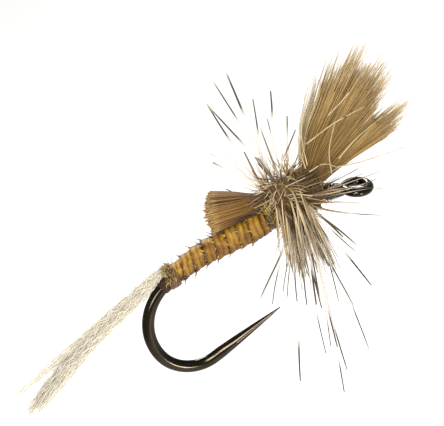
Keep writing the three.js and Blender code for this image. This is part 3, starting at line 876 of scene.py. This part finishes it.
def add_thorax_body(shape, rng):
    """Adds the lumpy body that shows between the fibres."""
    rows, columns = 40, 56
    lumps = 1 + 0.05 * rng.normal(size=(rows, columns))
    lumps = (lumps + np.roll(lumps, 1, 1) + np.roll(lumps, -1, 1)) / 3
    outer = lumps * thorax_reach(np.linspace(0, 1, rows))[:, None]
    x = np.linspace(THORAX_LOW[0], THORAX_HIGH[0], rows)
    half_sizes = THORAX_HALF_WIDTH, THORAX_HALF_HEIGHT
    # Painted shade: the body between the fibres is given a dark tint and mostly the painted brown.
    add_sleeve(shape, x, THORAX_MID_Z, outer, 0.45, *half_sizes, tint=0.25, high=0.8)


def add_fur(shape, rng, count):
    """Adds short fibres that lean over on the body, olive at the rear and below, and painted brown above as
    the shade under the wing and the hackle.
    """
    place = rng.uniform(THORAX_LOW[0] - 0.12, THORAX_HIGH[0], count)
    angle = rng.uniform(0, 2 * np.pi, count)
    place = np.where((np.cos(angle) < -0.2) & (rng.random(count) < 0.2), THORAX_HIGH[0] + 0.1, place)
    place = np.where(rng.random(count) < 0.16, THORAX_LOW[0] - rng.uniform(0, 0.16, count), place)
    t = (place - THORAX_LOW[0]) / (THORAX_HIGH[0] - THORAX_LOW[0])
    root = round_thorax(place, angle, thorax_reach(t) - 0.06)
    out = np.stack([0 * angle, np.sin(angle), np.cos(angle)], -1)
    round_body = np.stack([0 * angle, np.cos(angle), -np.sin(angle)], -1)
    lean = rng.uniform(0.2, 0.7, (count, 1)) * round_body + rng.normal(0, 0.15, (count, 1)) * FORWARD
    height = rng.uniform(0.03, 0.2, (count, 1))
    middle = root + 0.5 * lean + 0.6 * height * out
    tip = root + lean + out * height * (0.3 - 0.8 * (lean**2).sum(1, keepdims=True))
    # How far each fibre lies in the painted shade under the wing and the hackle: most on top, least below
    # and at the rear.
    high = np.clip(0.4 + 1.2 * np.cos(angle) - 1.2 * (t < 0.15) + rng.normal(0, 0.25, count), 0, 1)
    paths = through(np.stack([root, middle, tip], 1), 8)
    strands(shape, paths, 0.017, 3, tint=rng.uniform(0.2, 1, count), high=high)


def thorax():
    """A body of dubbing with loose fur."""
    rng = np.random.default_rng(60)
    shape = Shape()
    add_thorax_body(shape, rng)
    add_fur(shape, rng, 620)
    shape.piece("thorax_fur", dubbing_look(), "dubbing", "thorax_dubbing")


# ---- Hackle ----

STEM_REAR, STEM_FRONT = -3.26, -1.94
STEM_TURNS = 5
BARB_POINTS = 20
BARRING = 3.6  # length of one dark bar and one pale gap, in millimetres


def stem_points(t):
    """Places on the wound stem; t runs from 0 at the rear to 1 at the front."""
    x = STEM_REAR + (STEM_FRONT - STEM_REAR) * t
    return round_thorax(x, 2 * np.pi * STEM_TURNS * t, gap=0.08)


def barb_paths(clock, lean, length, t, swirl, bow):
    """Barbs from the stem. Clock is 0 straight up and 90 to the fly's right; lean is forward.

    Each barb leaves the stem at a clock angle that lags its own by the swirl, and curves over.
    """
    clock, lean, swirl = np.radians(clock), np.radians(lean), np.radians(swirl)
    root_clock = clock - swirl
    nearest = np.round(t * STEM_TURNS + root_clock / (2 * np.pi)) - root_clock / (2 * np.pi)
    root_x = stem_points(np.clip(nearest / STEM_TURNS, 0, 1))[:, 0]
    root = round_thorax(root_x, -root_clock, gap=0.03)
    out, root_out = (np.stack([0 * c, -np.sin(c), np.cos(c)], -1) for c in (clock, root_clock))
    heading = np.cos(lean)[:, None] * out + np.sin(lean)[:, None] * FORWARD
    start = unit(root_out * 0.75 + heading * 0.55)
    t = np.linspace(0, 1, BARB_POINTS)[None, :, None]
    length = length[:, None, None]
    curve = heading[:, None] * t + (start - heading)[:, None] * t * (1 - t) ** 3 + bow[:, None] * t * (1 - t)
    return root[:, None] + length * curve


BARB_TUFTS = (  # how many tufts, clock range, lean range, length range, swirl range
    (13, (112, 168), (-25, -3), (2.0, 2.9), (36, 66)),
    (5, (115, 185), (-24, -2), (2.3, 3.3), (22, 54)),
    (5, (-178, -125), (-20, 4), (2.6, 3.8), (-25, 20)),
)
LONE_BARBS = (  # place along the stem, clock, lean, length, and where its dark bar begins
    (0.5, 0, -3, 6.8, 3.6), (0.1, 0, -4, 4.9, 2.7), (0.5, -8, -12, 5.1, 2.1), (0.5, 0, 4, 5.8, 3.4),
    (0.3, 0, 16, 3.8, 2.4), (0.65, 0, 6, 2.6, 0.8), (0.4, 0, 23, 3.9, 2.7), (0.6, 10, 38, 2.3, 1.2),
    (0.95, 0, 38, 2.7, 1.8), (0.0, -5, 2, 1.7, 0.5), (0.2, -20, -26, 2.4, 3.4),
    (0.3, -30, -33, 2.6, 2.5), (0.45, 5, -6, 1.4, 0.2), (0.45, -5, -9, 1.3, 0.2),
    (0.5, 12, -3, 1.5, 0.3), (0.4, 0, -12, 1.1, 0.1), (0.2, -50, -35, 2.6, 2.3),
    (0.1, -60, -16, 3.0, 3.4), (0.7, -70, 10, 3.6, 3.4), (0.8, -45, 26, 2.5, 2.1),
    (0.2, -95, -24, 3.8, 3.2), (0.8, -110, 14, 5.0, 3.0), (0.1, -120, -30, 4.4, 2.4),
    (0.1, 150, -48, 3.8, 1.3), (0.2, 150, -38, 3.1, 1.5), (0.3, 150, -32, 2.9, 2.1),
    (0.4, 140, -24, 3.2, 1.8), (0.6, 135, -13, 3.8, 2.4), (0.8, 130, -16, 3.9, 2.2),
    (0.85, 130, -10, 4.0, 2.4), (0.7, 140, -20, 3.6, 2.0), (1.0, 122, 20, 2.8, 0.7),
    (1.0, 110, 14, 2.5, 1.1), (0.95, 130, -12, 3.4, 0.8), (0.98, 128, -4, 2.6, 0.9),
    (0.8, 130, 0, 4.5, 3.1), (0.85, 130, -5, 6.3, 4.7), (0.5, 140, -27, 6.4, 4.9),
    (0.6, 135, -16, 5.6, 4.5), (0.65, 135, -15, 7.3, 6.0), (0.7, 130, -12, 6.7, 4.9),
    (0.66, 133, -16, 5.5, 4.5), (0.72, 128, -13, 5.8, 4.5), (0.9, 100, 10, 4.2, 2.9),
    (1.0, 122, 9, 4.4, 3.2), (0.6, 165, -22, 3.4, 2.4), (0.3, 172, -34, 2.8, 1.8),
)
FORWARD_BARBS = (  # clock, lean, length, for the barbs that lie over the head and the eye
    (84, 74, 1.9), (76, 84, 2.3), (90, 80, 2.4), (64, 72, 1.5), (-40, 74, 2.2), (-90, 72, 2.4),
    (102, 80, 2.5), (80, 62, 1.4), (98, 58, 2.0), (112, 44, 3.3), (108, 50, 2.4), (104, 62, 2.8),
    (110, 66, 1.9), (95, 70, 3.2), (116, 40, 1.8), (60, 56, 1.0), (92, 48, 1.2), (100, 36, 1.5),
    (100, 56, 3.5), (96, 64, 3.1), (118, 56, 2.2),
)
EYE_FIBRES = 34  # short barbs that lean over the eye, on the side of the camera
WEB_FIBRES = 420  # short, soft barbs along the stem


def add_barbs(
    shape, rng, clock, lean, length, t, swirl, thick,
    loose=0.05, tint=None, dark_from=2.4, web=1.0, thinning=0.72,
):
    """Adds a barb for each clock angle.

    `loose` is how far barbs stray, over their length; `dark_from` is where the dark bar begins,
    `web` how tan a barb is near the stem, and `thinning` the share of its width lost by the tip.
    """
    count = len(clock)
    paths = barb_paths(clock, lean, length, t, swirl, rng.normal(0, loose, (count, 3)))
    along = np.linspace(0, 1, BARB_POINTS)[None]
    radii = thick * rng.uniform(0.7, 1.3, (count, 1)) * (1 - thinning * along**1.3)
    reach = along * length[:, None]
    dark_from = np.broadcast_to(dark_from, count)[:, None] + rng.normal(0, 0.2, (count, 1))
    bars = np.clip((reach - dark_from) / BARRING, -0.45, 0.84) + 2
    tint = rng.uniform(0, 1, count) if tint is None else tint
    strands(shape, paths, radii, bars=bars, reach=reach, tint=tint, web=web)


def add_barb_tuft(shape, rng, clocks, leans, lengths, swirls):
    """Adds barbs that cling together in a fan, palest in the middle and darkest at the front, where the dark
    is painted shade along the tuft's edge.
    """
    count = int(rng.integers(7, 12))
    spread = rng.normal(0, 1, (3, count))
    spread[1] = np.sort(spread[1])
    t = rng.uniform(0.26, 0.98)
    lean = leans[0] + (leans[1] - leans[0]) * np.clip(t + rng.normal(0, 0.2), 0, 1) + 3.5 * spread[1]
    clock = rng.uniform(*clocks) + 7 * spread[0]
    length = rng.uniform(*lengths) * rng.uniform(0.7, 1.0, count)
    t = np.clip(t + 0.05 * spread[2], 0, 1)
    swirl = rng.uniform(*swirls) + rng.normal(0, 5, count)
    # Painted shade: the barbs that lean furthest forward, at the tuft's front edge, take the darkest tints.
    tint = np.clip(0.6 - 0.42 * spread[1] + rng.normal(0, 0.14, count), 0, 1)
    add_barbs(shape, rng, clock, lean, length, t, swirl, 0.037, tint=tint, dark_from=2.15)


def add_table_barbs(shape, rng):
    """Adds the barbs of the two tables: the lone ones, and those over the head and the eye."""
    t, clock, lean, length, dark_from = np.array(LONE_BARBS, float).T
    add_barbs(shape, rng, clock, lean, length, t, 14, 0.044, dark_from=dark_from, web=0.25, thinning=0.5)
    clock, lean, length = np.array(FORWARD_BARBS, float).T
    t = np.clip(0.5 + lean / 60, 0.02, 0.98)
    tint = rng.uniform(0.03, 0.34, len(t))
    add_barbs(shape, rng, clock, lean, length, t, 20, 0.038, 0.12, tint)


def add_short_barbs(shape, rng):
    """Adds short barbs over the eye, and the soft web that hides the stem."""
    lean = rng.uniform(52, 78, EYE_FIBRES)
    clock = rng.uniform(50, 125, EYE_FIBRES)
    t = rng.uniform(0.9, 1, EYE_FIBRES)
    length = rng.uniform(0.5, 1.4, EYE_FIBRES)
    tint = rng.uniform(0, 0.22, EYE_FIBRES)
    add_barbs(shape, rng, clock, lean, length, t, 20, 0.03, 0.1, tint)

    t = rng.uniform(0, 1, WEB_FIBRES)
    clock = rng.uniform(-180, 180, WEB_FIBRES)
    lean = -40 + 80 * t + rng.normal(0, 20, WEB_FIBRES)
    below = np.cos(np.radians(clock)) < -0.2
    length = rng.uniform(0.35, 1.2, WEB_FIBRES) * np.where(below, 0.5, 1)
    add_barbs(shape, rng, clock, lean, length, t, rng.uniform(5, 50, WEB_FIBRES), 0.026, 0.2)


def hackle():
    """One feather: its stem wound round the thorax, and its barbs in tufts, alone and as web."""
    look = barb_look()
    stem = Shape()
    stem_path = stem_points(np.linspace(0, 1, STEM_TURNS * 30 + 1))[None]
    # The stem takes a dark tint, partly its own colour and partly painted shade where it lies among the
    # barbs.
    strands(stem, stem_path, 0.05, 8, bars=0.1, reach=0.0, tint=0.2, web=1.0)
    stem.piece("hackle_stem", look, "hackle")

    rng = np.random.default_rng(80)
    barbs = Shape()
    for tufts, *ranges in BARB_TUFTS:
        for _ in range(tufts):
            add_barb_tuft(barbs, rng, *ranges)
    add_table_barbs(barbs, rng)
    add_short_barbs(barbs, rng)
    barbs.piece("hackle_barbs", look, "hackle", "hackle_feather")


# ---- Head ----

HEAD_TURNS = 9


def neck_z(x):
    """The height of the wire's middle in the neck, under the head."""
    return NECK_START[2] + (NECK_START[0] - x) * math.tan(EYE_DROOP)


def head():
    """Three layers of thread that taper to the eye, under a coat of varnish."""
    low, high = box_mm("head_thread")
    rear, front = low[0] + 0.06, high[0] - 0.04

    def radius_at(x):
        return 0.36 - 0.1 * np.clip((x - rear) / (front - rear), 0, 1.4) ** 1.6

    rng = np.random.default_rng(90)
    turns = Shape()
    for first, last, sunk in ((rear, front, 0.0), (front, rear, 0.012), (rear, front, 0.03)):
        thread_turns(turns, rng, first, last, lambda x: radius_at(x) - sunk, HEAD_TURNS, 0.03, neck_z)
    look = thread_look("head_thread", (0.012, 0.01, 0.006), (0.06, 0.05, 0.022))
    turns.piece("head_turns", look, "head_thread", "head_thread")

    rows, columns = 44, 48
    x = np.linspace(rear - 0.03, front + 0.14, rows)
    rib = 0.012 * np.cos(2 * np.pi * HEAD_TURNS * np.linspace(0, 1, rows))[:, None]
    rounding = 0.09 * np.abs(np.linspace(-1, 1, rows)[:, None]) ** 8
    outer = radius_at(x)[:, None] + 0.03 + rib * np.cos(circle(columns) / 2) ** 2 - rounding
    coat = Shape()
    add_sleeve(coat, x, neck_z(x)[:, None], outer, 0.2)
    coat.piece("head_coat", varnish_look(), "varnish", "head_varnish")


# ---- Stage, light and camera ----

VIEW_ELEVATION = math.radians(30)
SHANK_RISE = math.radians(28.35)  # how far the shank climbs to the right in the picture
VIEW_CENTRE = Vector((-5.05, 0.0, 1.83))
VIEW_WIDTH = 17.08
LENS = 1000.0  # so long that the view is nearly without perspective
SENSOR = 36.0
CLIP_METRES = (0.001, 20.0)
FLOOR_Z = -80.0
FLOOR_HALF_SIDE = 3000.0
WORLD_COLOUR, WORLD_STRENGTH = (1.0, 0.995, 0.985, 1.0), 0.52
LIGHTS = (  # name, place, width and height, power and colour
    ("front", (-20, -130, 74), (36, 76), 0.26, (1.0, 0.97, 0.91)),
    ("front_left", (-79, -130, 22), (36, 36), 0.1, (1.0, 0.97, 0.91)),
    ("low_right", (19, -140, -48), (26, 30), 0.12, (1.0, 0.96, 0.88)),
    ("rim", (20, 110, 90), (60, 30), 0.4, (1.0, 1.0, 1.0)),
)


def area_light(name, place, size, power, colour):
    """A rectangular light that faces the middle of the view."""
    data = bpy.data.lights.new(name, "AREA")
    data.shape = "RECTANGLE"
    data.size, data.size_y = (s * MM for s in size)
    data.energy = power
    data.color = colour
    light = bpy.data.objects.new(name, data)
    light.location = Vector(place) * MM
    aim = VIEW_CENTRE * MM - light.location
    light.rotation_mode = "QUATERNION"
    light.rotation_quaternion = aim.to_track_quat("-Z", "Y")
    bpy.context.scene.collection.objects.link(light)


def stage():
    """A wide pale floor well below the fly, the light of the room and the lamps."""
    mesh = bpy.data.meshes.new("floor")
    corners = [(-1, -1), (1, -1), (1, 1), (-1, 1)]
    side = FLOOR_HALF_SIDE * MM
    mesh.from_pydata([(x * side, y * side, FLOOR_Z * MM) for x, y in corners], [], [(0, 1, 2, 3)])
    mesh.materials.append(floor_look())
    floor = bpy.data.objects.new("floor", mesh)
    bpy.context.scene.collection.objects.link(floor)

    world = bpy.data.worlds.new("studio")
    world.use_nodes = True
    background = world.node_tree.nodes["Background"]
    background.inputs["Color"].default_value = WORLD_COLOUR
    background.inputs["Strength"].default_value = WORLD_STRENGTH
    bpy.context.scene.world = world
    for light in LIGHTS:
        area_light(*light)


def camera():
    """The photo's camera: it looks down on the fly's right side, rolled so that the shank climbs."""
    data = bpy.data.cameras.new("photo_camera")
    data.lens = LENS
    data.sensor_width = SENSOR
    data.clip_start, data.clip_end = CLIP_METRES
    cam = bpy.data.objects.new("photo_camera", data)
    back = Vector((0, -math.cos(VIEW_ELEVATION), math.sin(VIEW_ELEVATION)))
    level_up = Vector((0, math.sin(VIEW_ELEVATION), math.cos(VIEW_ELEVATION)))
    ahead = Vector((1, 0, 0))
    right = math.cos(SHANK_RISE) * ahead - math.sin(SHANK_RISE) * level_up
    up = math.sin(SHANK_RISE) * ahead + math.cos(SHANK_RISE) * level_up
    distance = VIEW_WIDTH * LENS / SENSOR * MM
    turn = Matrix((right, up, back)).transposed().to_4x4()
    cam.matrix_world = Matrix.Translation(VIEW_CENTRE * MM + back * distance) @ turn
    bpy.context.scene.collection.objects.link(cam)
    bpy.context.scene.camera = cam


camera()
stage()
hook()
biot_rng = np.random.default_rng(3)
biot_strip(biot_rng)
biot_fringe(biot_rng)
tie_wraps()
tail_tuft()
tail()
wing()
wing_strays()
thorax()
hackle()
head()
bpy.context.scene.view_settings.view_transform = "Standard"
